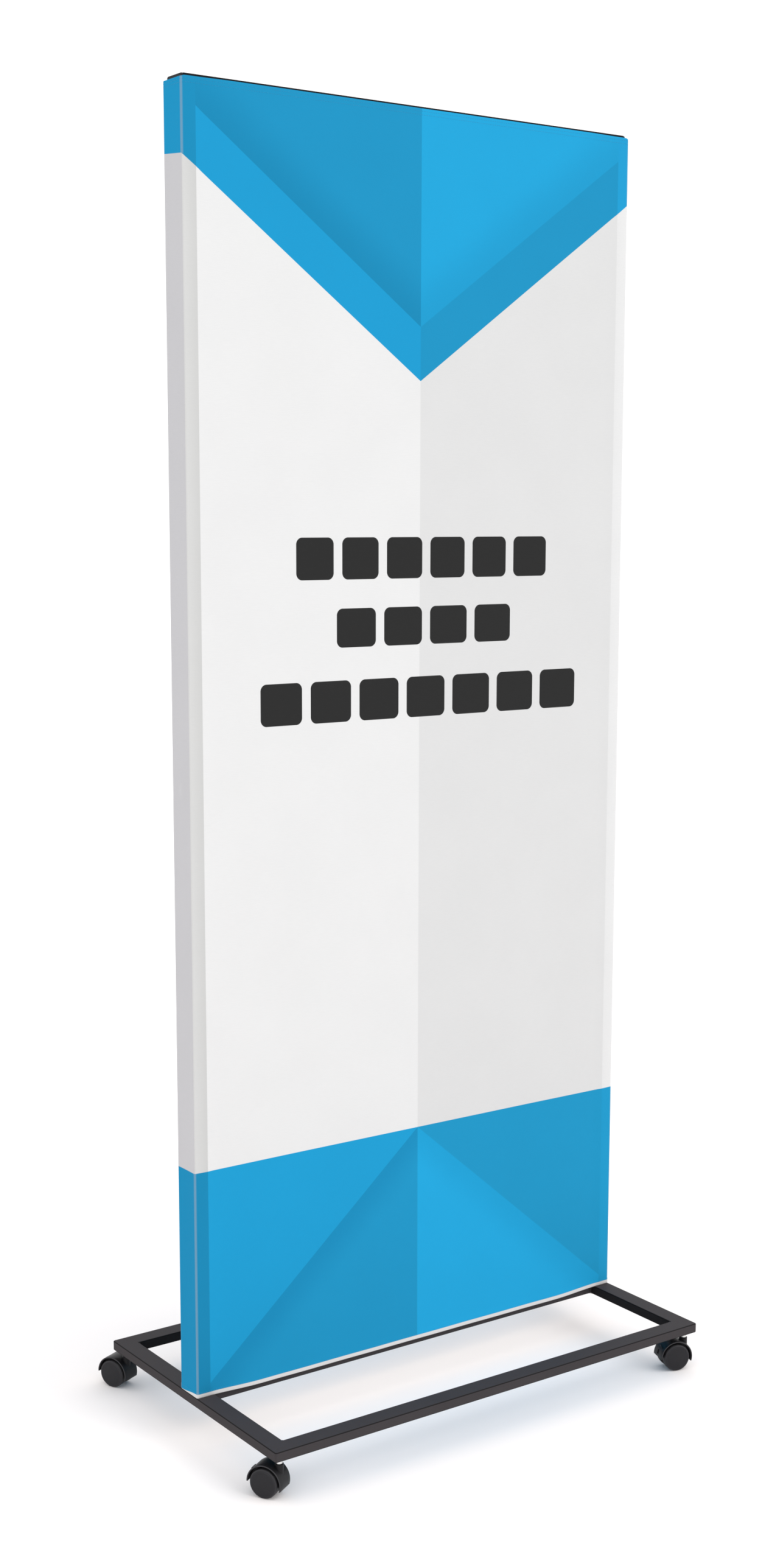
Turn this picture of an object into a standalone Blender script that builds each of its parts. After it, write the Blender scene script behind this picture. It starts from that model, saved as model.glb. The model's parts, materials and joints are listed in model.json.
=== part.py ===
"""Wheeled fabric banner stand: a tube base on four twin-wheel casters carries an upright
tube frame, and a printed fabric cover is stretched over both faces of that frame.

Metres, +Z up. The origin is on the floor under the middle of the base. X runs along the
banner and -Y is its front.
"""

from math import cos, pi, radians, sin

import bmesh
import bpy
from mathutils import Matrix, Vector

# ---- clearances -------------------------------------------------------------------------
GAP = 0.0003            # between pieces that touch, rest or are welded face to face
OVERLAP = 0.001         # how far a cutter runs past what it cuts

# ---- base frame -------------------------------------------------------------------------
BASE_LENGTH = 0.800     # along X, over the side rails
BASE_DEPTH = 0.480      # along Y, over the front and rear rails
RAIL_WIDTH = 0.030
RAIL_HEIGHT = 0.015
RAIL_WALL = 0.0015
RAIL_EDGE = 0.0015      # outside corner radius of the tube

# ---- upright frame ----------------------------------------------------------------------
PRINT_HEIGHT = 1.862
PRINT_RISE = 0.005      # from the base's top face to the print's lower edge
TOP_RAIL_PROUD = 0.004  # how far the top rail shows above the cover
FRAME_DEPTH = 0.040     # along Y, over the tubes
POST_WIDTH = 0.020
POST_WALL = 0.0015
POST_EDGE = 0.0015
TOP_RAIL_HEIGHT = 0.020
FOOT_RAIL_HEIGHT = 0.020
BRACE_DEPTH = 0.030
BRACE_HEIGHT = 0.015
BRACE_LEVEL = 0.960     # centre of the middle brace above the floor
CAP_FLANGE = 0.003      # plastic end cap of the top rail
CAP_PLUG = 0.012
CAP_ROUND = 0.003
FOOT_BLOCK = 0.012      # threaded block inside the foot of each post

# ---- cover ------------------------------------------------------------------------------
TAPE = 0.0032           # hook-and-loop tape stuck round the frame
TAPE_MARGIN = 0.001     # tape edge to tube edge
CLOTH = 0.001

# ---- bolts through the side rails into the posts ----------------------------------------
BOLT_RADIUS = 0.004
BOLT_HEAD_ACROSS = 0.013
BOLT_HEAD = 0.0053
WASHER_RADIUS = 0.008
WASHER = 0.0016
BOLT_FACETS = 24

# ---- casters ----------------------------------------------------------------------------
SHANK_RADIUS = 0.004    # threaded end, in the rail
SHANK_HEADROOM = 0.002  # shank's end to the inside of the rail's top wall
COLLAR_RADIUS = 0.0050
COLLAR = 0.0085
PIN_RADIUS = 0.003      # plain end, in the caster's hub
PIN_LENGTH = 0.015      # below the collar
NUT_ROOM = 0.0015       # nut plate to each side wall of the rail
NUT_THICK = 0.005
TRAIL = 0.0172          # stem axis to axle
WHEEL_RADIUS = 0.0215
WHEEL_OUTER = 0.0167    # caster's middle to a wheel's outer face
WHEEL_BEVEL = 0.0016
RIM_BAND = 0.0030       # raised ring at the edge of the wheel's outer face
RIM_STEP = 0.0005
HOOD_CLEAR = 0.0035     # tread to the inside of the hood
HOOD_WALL = 0.0020
HOOD_TO_RAIL = 0.0100   # hood's crown to the underside of the rails
HOOD_HALF_WIDTH = 0.0153
HOOD_LEAD = radians(17)     # the lip on the stem's side ends this far below the axle
HOOD_TRAIL = radians(-1)    # the other lip ends this far below the axle
WEB = 0.0100            # wall between the two wheels
WHEEL_CLEAR = 0.0004    # between the web and each wheel
BOSS_RADIUS = 0.0062
HUB_RADIUS = 0.0065
AXLE_RADIUS = 0.0030
AXLE_REACH = 0.0070     # length of axle inside each wheel
WHEEL_FACETS = 36
HOOD_STEP = radians(7.5)
ROUND_FACETS = 24

# Each caster's place on the base, and the way it trails at rest.
CASTERS = {
    "front_left": (-1, -1, radians(120.3)),
    "rear_left": (-1, 1, radians(114.3)),
    "front_right": (1, -1, radians(161.3)),
    "rear_right": (1, 1, radians(60.0)),
}

# ---- what follows from the sizes --------------------------------------------------------
PANEL_LENGTH = BASE_LENGTH      # over the cover: it stands on the two side rails
HOOD_RADIUS = WHEEL_RADIUS + HOOD_CLEAR + HOOD_WALL
CASTER_HEIGHT = WHEEL_RADIUS + HOOD_RADIUS + HOOD_TO_RAIL   # to the rails' underside
STEM_INSET = RAIL_WIDTH / 2     # stem axis to each outside face of the base
SHANK_REACH = RAIL_HEIGHT - RAIL_WALL - SHANK_HEADROOM      # above the rails' underside
NUT_SIDE = RAIL_WIDTH - 2 * (RAIL_WALL + NUT_ROOM)
BASE_TOP = CASTER_HEIGHT + RAIL_HEIGHT
STANDOFF = TAPE + GAP + CLOTH
FRAME_LENGTH = PANEL_LENGTH - 2 * STANDOFF
PANEL_DEPTH = FRAME_DEPTH + 2 * STANDOFF
COVER_BOTTOM = BASE_TOP + GAP
COVER_TOP = BASE_TOP + PRINT_RISE + PRINT_HEIGHT
TOP_RAIL_TOP = COVER_TOP + TOP_RAIL_PROUD
TOP_RAIL_BOTTOM = TOP_RAIL_TOP - TOP_RAIL_HEIGHT
POST_X = (FRAME_LENGTH - POST_WIDTH) / 2
POST_BOTTOM = BASE_TOP + GAP
POST_TOP = TOP_RAIL_BOTTOM - GAP
BETWEEN_POSTS = FRAME_LENGTH - 2 * POST_WIDTH - 2 * GAP
BOLT_HOLE = BOLT_RADIUS + GAP
HUB_TOP = CASTER_HEIGHT - GAP - COLLAR - GAP
STEM_X = BASE_LENGTH / 2 - STEM_INSET
STEM_Y = BASE_DEPTH / 2 - STEM_INSET


# ---- shop tools -------------------------------------------------------------------------
def clear_scene():
    for thing in list(bpy.data.objects):
        bpy.data.objects.remove(thing, do_unlink=True)


def finish_material(name, colour, roughness, metallic=0.0):
    material = bpy.data.materials.new(name)
    material.use_nodes = True
    shader = material.node_tree.nodes["Principled BSDF"]
    shader.inputs["Base Color"].default_value = (*colour, 1)
    shader.inputs["Roughness"].default_value = roughness
    shader.inputs["Metallic"].default_value = metallic
    return material


def add_object(name, shape, material=None, parent=None):
    """An object made from a bmesh, which is used up."""
    bmesh.ops.recalc_face_normals(shape, faces=shape.faces)
    mesh = bpy.data.meshes.new(name)
    shape.to_mesh(mesh)
    shape.free()
    if material:
        mesh.materials.append(material)
    thing = bpy.data.objects.new(name, mesh)
    bpy.context.scene.collection.objects.link(thing)
    thing.parent = parent
    return thing


def make_helper(thing):
    thing.hide_render = True
    thing.display_type = "WIRE"


def smooth(thing, angle=radians(35)):
    thing.data.shade_smooth()
    thing.data.set_sharp_from_angle(angle=angle)


def box_shape(size, centre=(0, 0, 0)):
    shape = bmesh.new()
    place = Matrix.Translation(centre) @ Matrix.Diagonal((*size, 1))
    bmesh.ops.create_cube(shape, size=1, matrix=place)
    return shape


def cylinder_shape(radius, low, high, facets=ROUND_FACETS, turn=0.0):
    """A cylinder along Z between two heights."""
    shape = bmesh.new()
    place = Matrix.Translation((0, 0, (low + high) / 2)) @ Matrix.Rotation(turn, 4, "Z")
    bmesh.ops.create_cone(
        shape, cap_ends=True, segments=facets, radius1=radius, radius2=radius,
        depth=high - low, matrix=place,
    )
    return shape


def turned_shape(profile, facets, turn=0.0):
    """A solid turned round Z from (radius, height) points that start and end on the axis."""
    shape = bmesh.new()
    points = [shape.verts.new((radius, 0, height)) for radius, height in profile]
    edges = [shape.edges.new(pair) for pair in zip(points, points[1:])]
    bmesh.ops.spin(
        shape, geom=points + edges, axis=(0, 0, 1), cent=(0, 0, 0), steps=facets,
        angle=2 * pi,
    )
    bmesh.ops.remove_doubles(shape, verts=shape.verts, dist=1e-6)
    bmesh.ops.rotate(shape, verts=shape.verts, matrix=Matrix.Rotation(turn, 3, "Z"))
    return shape


def extruded_shape(outline, low, high):
    """A flat outline in X and Z, given thickness along Y."""
    shape = bmesh.new()
    face = shape.faces.new([shape.verts.new((x, low, z)) for x, z in outline])
    grown = bmesh.ops.extrude_face_region(shape, geom=[face])["geom"]
    moved = [item for item in grown if isinstance(item, bmesh.types.BMVert)]
    bmesh.ops.translate(shape, verts=moved, vec=(0, high - low, 0))
    return shape


def boolean(thing, other, operation="DIFFERENCE"):
    modifier = thing.modifiers.new(f"{operation.lower()} {other.name}", "BOOLEAN")
    modifier.operation = operation
    modifier.solver = "EXACT"
    modifier.object = other


def drill(thing, radius, centre, low, high):
    """A round hole along Z through the object."""
    cutter = add_object(f"{thing.name}_drill", cylinder_shape(radius, low, high))
    cutter.location = (centre[0], centre[1], 0)
    make_helper(cutter)
    boolean(thing, cutter)


def rounded_rectangle(width, height, radius, steps=3):
    """Corner points of a rectangle with round corners, centred, anticlockwise."""
    points = []
    for quarter, (side_x, side_y) in enumerate(((1, 1), (-1, 1), (-1, -1), (1, -1))):
        centre = Vector((side_x * (width / 2 - radius), side_y * (height / 2 - radius)))
        for step in range(steps + 1):
            angle = (quarter + step / steps) * pi / 2
            points.append(centre + radius * Vector((cos(angle), sin(angle))))
    return points


def tube(name, length, width, height, wall, edge, material, slant=(0, 0)):
    """A rectangular tube along X, centred: width along Y, height along Z. Each slant is how
    far an end face leans along X for each metre along Y, so 1 and -1 cut a mitre."""
    shape = bmesh.new()
    outer = rounded_rectangle(width, height, edge)
    inner = rounded_rectangle(width - 2 * wall, height - 2 * wall, edge / 2)
    rings = []
    for side, lean in zip((-1, 1), slant):
        for outline in (outer, inner):
            ring = [shape.verts.new((side * length / 2 + lean * y, y, z)) for y, z in outline]
            rings.append(ring)
    near_outer, near_inner, far_outer, far_inner = rings
    count = len(outer)
    for first, second in (
        (near_outer, far_outer), (near_inner, far_inner),
        (near_outer, near_inner), (far_outer, far_inner),
    ):
        for i in range(count):
            j = (i + 1) % count
            shape.faces.new((first[i], first[j], second[j], second[i]))
    return add_object(name, shape, material)


# ---- base frame -------------------------------------------------------------------------
def base_rails(paint):
    """Four tubes mitred at the corners, and a crossbar that carries the panel's foot."""
    level = CASTER_HEIGHT + RAIL_HEIGHT / 2
    rails = []
    for name, side in (("front_rail", -1), ("rear_rail", 1)):
        length = BASE_LENGTH - RAIL_WIDTH - GAP
        rail = tube(name, length, RAIL_WIDTH, RAIL_HEIGHT, RAIL_WALL, RAIL_EDGE, paint,
                    slant=(-side, side))
        rail.location = (0, side * (BASE_DEPTH - RAIL_WIDTH) / 2, level)
        rails.append(rail)
    for name, side in (("left_rail", -1), ("right_rail", 1)):
        length = BASE_DEPTH - RAIL_WIDTH - GAP
        rail = tube(name, length, RAIL_WIDTH, RAIL_HEIGHT, RAIL_WALL, RAIL_EDGE, paint,
                    slant=(side, -side))
        rail.rotation_euler.z = pi / 2
        rail.location = (side * (BASE_LENGTH - RAIL_WIDTH) / 2, 0, level)
        bolt_hole = (side * POST_X, 0)
        drill(rail, BOLT_HOLE, bolt_hole, CASTER_HEIGHT - OVERLAP, BASE_TOP + OVERLAP)
        rails.append(rail)
    for side_x, side_y, _ in CASTERS.values():
        corner = (side_x * STEM_X, side_y * STEM_Y)
        for rail in rails:
            # Each corner's hole is cut half in its long rail and half in its side rail.
            if rail.location.x * side_x > 0 or rail.location.y * side_y > 0:
                drill(rail, SHANK_RADIUS + GAP, corner, CASTER_HEIGHT - OVERLAP,
                      CASTER_HEIGHT + RAIL_WALL + OVERLAP)
    length = BASE_LENGTH - 2 * RAIL_WIDTH - 2 * GAP
    crossbar = tube("crossbar", length, RAIL_WIDTH, RAIL_HEIGHT, RAIL_WALL, RAIL_EDGE, paint)
    crossbar.location = (0, 0, level)


def nut_plate(name, centre, zinc):
    """The threaded plate inside a corner of the base that a caster screws into."""
    floor = CASTER_HEIGHT + RAIL_WALL + GAP
    plate = add_object(
        name, box_shape((NUT_SIDE, NUT_SIDE, NUT_THICK), (*centre, floor + NUT_THICK / 2)), zinc
    )
    drill(plate, SHANK_RADIUS + GAP, centre, floor - OVERLAP, floor + NUT_THICK + OVERLAP)


# ---- upright frame ----------------------------------------------------------------------
def posts_and_rails(paint, plastic):
    for name, side in (("left_post", -1), ("right_post", 1)):
        post = tube(name, POST_TOP - POST_BOTTOM, FRAME_DEPTH, POST_WIDTH, POST_WALL,
                    POST_EDGE, paint)
        post.rotation_euler.y = pi / 2
        post.location = (side * POST_X, 0, (POST_TOP + POST_BOTTOM) / 2)
    rail_length = FRAME_LENGTH - 2 * CAP_FLANGE - 2 * GAP
    rail = tube("top_rail", rail_length, FRAME_DEPTH, TOP_RAIL_HEIGHT, POST_WALL, POST_EDGE,
                paint)
    rail.location = (0, 0, TOP_RAIL_BOTTOM + TOP_RAIL_HEIGHT / 2)
    foot = tube("foot_rail", BETWEEN_POSTS, FRAME_DEPTH, FOOT_RAIL_HEIGHT, POST_WALL,
                POST_EDGE, paint)
    foot.location = (0, 0, BASE_TOP + GAP + FOOT_RAIL_HEIGHT / 2)
    brace = tube("middle_brace", BETWEEN_POSTS, BRACE_DEPTH, BRACE_HEIGHT, POST_WALL,
                 POST_EDGE, paint)
    brace.location = (0, 0, BRACE_LEVEL)
    for name, side in (("left_cap", -1), ("right_cap", 1)):
        end_cap(name, side, plastic)


def end_cap(name, side, plastic):
    """A plug with a flange that closes one end of the top rail."""
    flange = rounded_rectangle(FRAME_DEPTH, TOP_RAIL_HEIGHT, CAP_ROUND)
    room = 2 * (POST_WALL + GAP)
    plug = rounded_rectangle(FRAME_DEPTH - room, TOP_RAIL_HEIGHT - room, POST_EDGE / 2)
    shape = bmesh.new()
    stations = (
        (flange, 0.0), (flange, CAP_FLANGE), (plug, CAP_FLANGE), (plug, CAP_FLANGE + CAP_PLUG)
    )
    rings = [
        [shape.verts.new((side * (FRAME_LENGTH / 2 - depth), y, z)) for y, z in outline]
        for outline, depth in stations
    ]
    shape.faces.new(rings[0])
    shape.faces.new(rings[-1])
    for first, second in zip(rings, rings[1:]):
        for i in range(len(first)):
            j = (i + 1) % len(first)
            shape.faces.new((first[i], first[j], second[j], second[i]))
    cap = add_object(name, shape, plastic)
    cap.location.z = TOP_RAIL_BOTTOM + TOP_RAIL_HEIGHT / 2


def post_fixing(label, side, zinc):
    """Foot block, bolt and washer that hold one post down on its side rail."""
    centre = (side * POST_X, 0)
    room = 2 * (POST_WALL + GAP)
    block_low = POST_BOTTOM + GAP
    block = add_object(
        f"{label}_foot_block",
        box_shape((POST_WIDTH - room, FRAME_DEPTH - room, FOOT_BLOCK),
                  (*centre, block_low + FOOT_BLOCK / 2)),
        zinc,
    )
    drill(block, BOLT_HOLE, centre, block_low - OVERLAP, block_low + FOOT_BLOCK + OVERLAP)

    washer_top = CASTER_HEIGHT - GAP
    washer = add_object(
        f"{label}_washer", cylinder_shape(WASHER_RADIUS, washer_top - WASHER, washer_top), zinc
    )
    washer.location = (*centre, 0)
    drill(washer, BOLT_HOLE, centre, washer_top - WASHER - OVERLAP, washer_top + OVERLAP)

    head_top = washer_top - WASHER - GAP
    corner_radius = BOLT_HEAD_ACROSS / 2 / cos(pi / 6)
    shape = cylinder_shape(corner_radius, head_top - BOLT_HEAD, head_top, facets=6)
    bolt = add_object(f"{label}_bolt", shape, zinc)
    bolt.location = (*centre, 0)
    shank_top = block_low + FOOT_BLOCK - OVERLAP
    shank = add_object(
        f"{label}_bolt_shank",
        cylinder_shape(BOLT_RADIUS, head_top - BOLT_HEAD / 2, shank_top, BOLT_FACETS),
    )
    shank.location = (*centre, 0)
    make_helper(shank)
    boolean(bolt, shank, "UNION")


# ---- cover ------------------------------------------------------------------------------
def grip_tapes(tape):
    """Hook-and-loop tape on the front, rear and outer faces of the frame."""
    post_low = BASE_TOP + TAPE_MARGIN
    post_high = TOP_RAIL_BOTTOM - GAP
    post_mid = (post_low + post_high) / 2
    post_run = post_high - post_low
    between = BETWEEN_POSTS - 2 * TAPE_MARGIN
    top_low = TOP_RAIL_BOTTOM
    top_high = COVER_TOP - TAPE_MARGIN
    foot_mid = BASE_TOP + FOOT_RAIL_HEIGHT / 2
    for face, side in (("front", -1), ("rear", 1)):
        y = side * (FRAME_DEPTH / 2 + GAP / 2 + TAPE / 2)
        thick = TAPE - GAP
        for post, way in (("left", -1), ("right", 1)):
            size = (POST_WIDTH - 2 * TAPE_MARGIN, thick, post_run)
            spot = (way * POST_X, y, post_mid)
            add_object(f"{post}_post_{face}_tape", box_shape(size, spot), tape)
        size = (FRAME_LENGTH - 2 * TAPE_MARGIN, thick, top_high - top_low)
        spot = (0, y, (top_low + top_high) / 2)
        add_object(f"top_{face}_tape", box_shape(size, spot), tape)
        size = (between, thick, FOOT_RAIL_HEIGHT - 2 * TAPE_MARGIN)
        add_object(f"foot_{face}_tape", box_shape(size, (0, y, foot_mid)), tape)
    for post, way in (("left", -1), ("right", 1)):
        x = way * (FRAME_LENGTH / 2 + GAP / 2 + TAPE / 2)
        size = (TAPE - GAP, FRAME_DEPTH - 2 * TAPE_MARGIN, post_run)
        add_object(f"{post}_post_side_tape", box_shape(size, (x, 0, post_mid)), tape)


def cover_panels(cloth):
    """The printed cover, as the four panels that are sewn into one sleeve."""
    middle = (COVER_TOP + COVER_BOTTOM) / 2
    height = COVER_TOP - COVER_BOTTOM
    for name, side in (("front_banner", -1), ("rear_banner", 1)):
        size = (PANEL_LENGTH - 2 * (CLOTH + GAP), CLOTH, height)
        y = side * (PANEL_DEPTH - CLOTH) / 2
        add_object(name, box_shape(size, (0, y, middle)), cloth)
    for name, side in (("left_gusset", -1), ("right_gusset", 1)):
        size = (CLOTH, PANEL_DEPTH, height)
        x = side * (PANEL_LENGTH - CLOTH) / 2
        add_object(name, box_shape(size, (x, 0, middle)), cloth)


# ---- casters ----------------------------------------------------------------------------
def caster_stem(name, centre, zinc):
    """Threaded shank, collar and plain pin, turned in one piece."""
    collar_top = CASTER_HEIGHT - GAP
    collar_low = collar_top - COLLAR
    profile = (
        (0, CASTER_HEIGHT + SHANK_REACH),
        (SHANK_RADIUS, CASTER_HEIGHT + SHANK_REACH),
        (SHANK_RADIUS, collar_top),
        (COLLAR_RADIUS, collar_top),
        (COLLAR_RADIUS, collar_low),
        (PIN_RADIUS, collar_low),
        (PIN_RADIUS, collar_low - PIN_LENGTH),
        (0, collar_low - PIN_LENGTH),
    )
    stem = add_object(name, turned_shape(profile, ROUND_FACETS), zinc)
    stem.location = (*centre, 0)
    smooth(stem)


def arc(radius, start, end):
    """Points on an arc about the axle, in X and Z, with X along the trail."""
    steps = round(abs(end - start) / HOOD_STEP)
    angles = [start + (end - start) * step / steps for step in range(steps + 1)]
    return [(TRAIL + radius * cos(a), WHEEL_RADIUS + radius * sin(a)) for a in angles]


def caster_hood(name, swivel, plastic):
    """Hood, web between the wheels and stem hub, moulded in one piece."""
    start, end = HOOD_TRAIL, pi + HOOD_LEAD
    mid_wall = HOOD_RADIUS - HOOD_WALL / 2
    shell = arc(HOOD_RADIUS, start, end) + arc(HOOD_RADIUS - HOOD_WALL, end, start)
    hood = add_object(
        name, extruded_shape(shell, -HOOD_HALF_WIDTH, HOOD_HALF_WIDTH), plastic, swivel
    )
    web_outline = arc(mid_wall, start, end) + arc(BOSS_RADIUS, pi * 1.25, pi * 1.75)
    web = add_object(f"{name}_web", extruded_shape(web_outline, -WEB / 2, WEB / 2),
                     parent=swivel)
    hub = add_object(f"{name}_hub", cylinder_shape(HUB_RADIUS, WHEEL_RADIUS, HUB_TOP),
                     parent=swivel)
    axle_place = Matrix.Translation((TRAIL, 0, WHEEL_RADIUS)) @ Matrix.Rotation(pi / 2, 4, "X")
    well_depth = HOOD_HALF_WIDTH + OVERLAP
    for side in (-1, 1):
        well_shape = cylinder_shape(
            mid_wall, WEB / 2 - OVERLAP, well_depth, round(2 * pi / HOOD_STEP)
        )
        if side < 0:
            bmesh.ops.transform(
                well_shape, verts=well_shape.verts, matrix=Matrix.Rotation(pi, 4, "X")
            )
        well = add_object(f"{name}_well_{side}", well_shape, parent=swivel)
        well.matrix_local = axle_place
        make_helper(well)
        boolean(hub, well)
    pin_low = CASTER_HEIGHT - GAP - COLLAR - PIN_LENGTH - GAP
    pin_bore = add_object(
        f"{name}_pin_bore",
        cylinder_shape(PIN_RADIUS + GAP, pin_low, HUB_TOP + OVERLAP), parent=swivel,
    )
    axle_bore = add_object(
        f"{name}_axle_bore", cylinder_shape(AXLE_RADIUS + GAP, -WEB, WEB), parent=swivel
    )
    axle_bore.matrix_local = axle_place
    for helper in (web, hub, pin_bore, axle_bore):
        make_helper(helper)
    boolean(hood, web, "UNION")
    boolean(hood, hub, "UNION")
    boolean(hood, pin_bore)
    boolean(hood, axle_bore)
    smooth(hood)


def wheel(name, side, swivel, plastic):
    """One wheel, turned about its axle: a tread with a raised ring on its outer face."""
    inner = WEB / 2 + WHEEL_CLEAR
    # The flats of the faceted tread, not its corners, lie at the wheel's radius.
    tread = WHEEL_RADIUS / cos(pi / WHEEL_FACETS)
    bore = AXLE_RADIUS + GAP
    bore_end = inner + AXLE_REACH + GAP
    ring = tread - RIM_BAND
    profile = (
        (0, bore_end),
        (bore, bore_end),
        (bore, inner),
        (tread - WHEEL_BEVEL, inner),
        (tread, inner + WHEEL_BEVEL),
        (tread, WHEEL_OUTER - WHEEL_BEVEL),
        (tread - WHEEL_BEVEL, WHEEL_OUTER),
        (ring, WHEEL_OUTER),
        (ring - RIM_STEP, WHEEL_OUTER - RIM_STEP),
        (0, WHEEL_OUTER - RIM_STEP / 2),
    )
    turn = pi / WHEEL_FACETS + pi / 2
    body = add_object(name, turned_shape(profile, WHEEL_FACETS, turn), plastic, swivel)
    body.location = (TRAIL, 0, WHEEL_RADIUS)
    body.rotation_euler.x = -side * pi / 2
    smooth(body)


def caster(label, side_x, side_y, trail, paint):
    centre = (side_x * STEM_X, side_y * STEM_Y)
    nut_plate(f"{label}_nut_plate", centre, paint["zinc"])
    caster_stem(f"{label}_stem", centre, paint["zinc"])
    swivel = bpy.data.objects.new(f"{label}_swivel", None)
    bpy.context.scene.collection.objects.link(swivel)
    swivel.location = (*centre, 0)
    swivel.rotation_euler.z = trail
    caster_hood(f"{label}_hood", swivel, paint["hood"])
    reach = WEB / 2 + WHEEL_CLEAR + AXLE_REACH
    axle = add_object(
        f"{label}_axle", cylinder_shape(AXLE_RADIUS, -reach, reach), paint["zinc"], swivel
    )
    axle.location = (TRAIL, 0, WHEEL_RADIUS)
    axle.rotation_euler.x = pi / 2
    smooth(axle)
    for letter, side in (("a", 1), ("b", -1)):
        wheel(f"{label}_wheel_{letter}", side, swivel, paint["wheel"])


def main():
    clear_scene()
    finishes = {
        "paint": finish_material("powder coat", (0.032, 0.030, 0.033), 0.42),
        "hood": finish_material("hood plastic", (0.018, 0.017, 0.019), 0.38),
        "wheel": finish_material("wheel plastic", (0.036, 0.035, 0.041), 0.55),
        "zinc": finish_material("zinc plate", (0.72, 0.72, 0.70), 0.35, 1.0),
        "cap": finish_material("cap plastic", (0.020, 0.019, 0.021), 0.5),
        "tape": finish_material("grip tape", (0.015, 0.015, 0.016), 0.95),
        "cloth": finish_material("cover cloth", (0.030, 0.330, 0.600), 0.85),
    }
    base_rails(finishes["paint"])
    posts_and_rails(finishes["paint"], finishes["cap"])
    for label, side in (("left", -1), ("right", 1)):
        post_fixing(label, side, finishes["zinc"])
    grip_tapes(finishes["tape"])
    cover_panels(finishes["cloth"])
    for label, (side_x, side_y, trail) in CASTERS.items():
        caster(label, side_x, side_y, trail, finishes)


main()
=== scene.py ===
"""Looks of the wheeled fabric banner stand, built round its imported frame.

Metres, +Z up, origin on the floor under the base. X runs along the banner, -Y is its front.
"""

import json
from math import atan, cos, exp, pi, radians, sin, sqrt

import bmesh
import bpy
from mathutils import Matrix, Vector


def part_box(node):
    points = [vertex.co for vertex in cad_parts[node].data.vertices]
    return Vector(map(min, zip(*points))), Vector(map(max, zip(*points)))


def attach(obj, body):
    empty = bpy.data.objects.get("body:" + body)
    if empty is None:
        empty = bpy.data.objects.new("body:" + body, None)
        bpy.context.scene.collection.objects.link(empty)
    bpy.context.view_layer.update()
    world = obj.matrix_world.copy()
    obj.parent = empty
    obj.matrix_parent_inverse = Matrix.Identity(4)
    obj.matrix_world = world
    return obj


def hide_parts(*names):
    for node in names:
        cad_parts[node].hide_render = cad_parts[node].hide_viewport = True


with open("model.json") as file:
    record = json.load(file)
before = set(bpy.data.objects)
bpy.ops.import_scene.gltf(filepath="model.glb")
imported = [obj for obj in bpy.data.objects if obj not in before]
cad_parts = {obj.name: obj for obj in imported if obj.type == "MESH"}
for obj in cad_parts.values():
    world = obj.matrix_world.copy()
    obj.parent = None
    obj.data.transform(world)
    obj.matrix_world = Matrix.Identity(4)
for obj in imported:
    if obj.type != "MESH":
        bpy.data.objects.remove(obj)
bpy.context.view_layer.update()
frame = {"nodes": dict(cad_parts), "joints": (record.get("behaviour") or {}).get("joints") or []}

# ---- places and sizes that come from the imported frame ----
side_low, side_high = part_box("left_rail")
base_low = Vector((side_low.x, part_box("front_rail")[0].y, side_low.z))
base_high = Vector((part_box("right_rail")[1].x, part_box("rear_rail")[1].y, side_high.z))
RAIL_WIDTH = side_high.x - side_low.x
HALF_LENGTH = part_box("right_gusset")[1].x
HALF_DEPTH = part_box("rear_banner")[1].y
COVER_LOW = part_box("front_banner")[0].z
COVER_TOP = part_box("front_banner")[1].z

# ---- sizes of finer shapes ----
MERGE = 1e-6            # points nearer than this are one
CLEAR = 0.0003          # gap between separate pieces that touch
TRUE_SHARP = radians(38)
ROUND_STEPS = 5         # flats round a quarter turn
SEAM = 0.00003          # half the gap at a mitre
RAIL_ROUND = 0.0015     # long edges of the tubes
CORNER_ROUND = 0.0032   # outer corners of the base, seen from above
WELD_RADIUS, WELD_PITCH = 0.0019, 0.0008
CAP_CORNER, CAP_ROUND = 0.003, 0.0008
WASHER_HOLE, WASHER_SOFT = 0.0043, 0.00025
BOLT_RADIUS = 0.004
HEAD_ROUND = 0.0002
CHAMFER_IN, CHAMFER_OUT, CHAMFER_UP = 0.0006, 0.0016, 0.0012

CLOTH = 0.0009
CLOTH_CORNER = 0.003    # the cover's vertical corners
STRIP = 0.022           # width of the cloth that lies over a post
STRIP_RISE = 0.0009     # how far the inner side of that strip stands proud
STRIP_FADE = 0.012      # how far in from the strip the cloth is back on its own plane
SAG, SAG_REACH = 0.0013, 0.20   # how far the cloth draws in between the posts
SIDE_SAG = 0.0007
PRINT_LOW = COVER_LOW + 0.0060
DROOP = 0.0034          # how far the lower hem hangs down between the side rails
TOP_RISE = 0.0006       # how far the top edge is drawn up between the posts
TOP_SLIP = 0.0015       # how far it slips down at its ends
HEM = 0.0085            # folded depth of the lower hem
HEM_PLUMP = 0.0004
FOOT_ROLL, TOP_ROLL = 0.0005, 0.0004    # how far the two hems roll in at their edges
CREASES = (             # faint pull lines on the sides: height, and share of CREASE_DEPTH
    (0.62, 0.5), (0.93, 1.0), (0.97, 0.7), (1.02, 0.9), (1.41, 0.5),
)
CREASE_DEPTH, CREASE_WIDTH, CREASE_LEAN = 0.00016, 0.0035, 0.12
THREAD = 0.00022
STITCH, STITCH_PITCH = 0.0030, 0.0042


# ======== small helpers ========
def ease(value, low, high):
    """0 before low, 1 after high, and a smooth turn between them."""
    share = max(0.0, min(1.0, (value - low) / (high - low)))
    return share * share * (3 - 2 * share)


def in_scene(name, data):
    """A new object in the scene."""
    thing = bpy.data.objects.new(name, data)
    bpy.context.scene.collection.objects.link(thing)
    return thing


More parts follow.
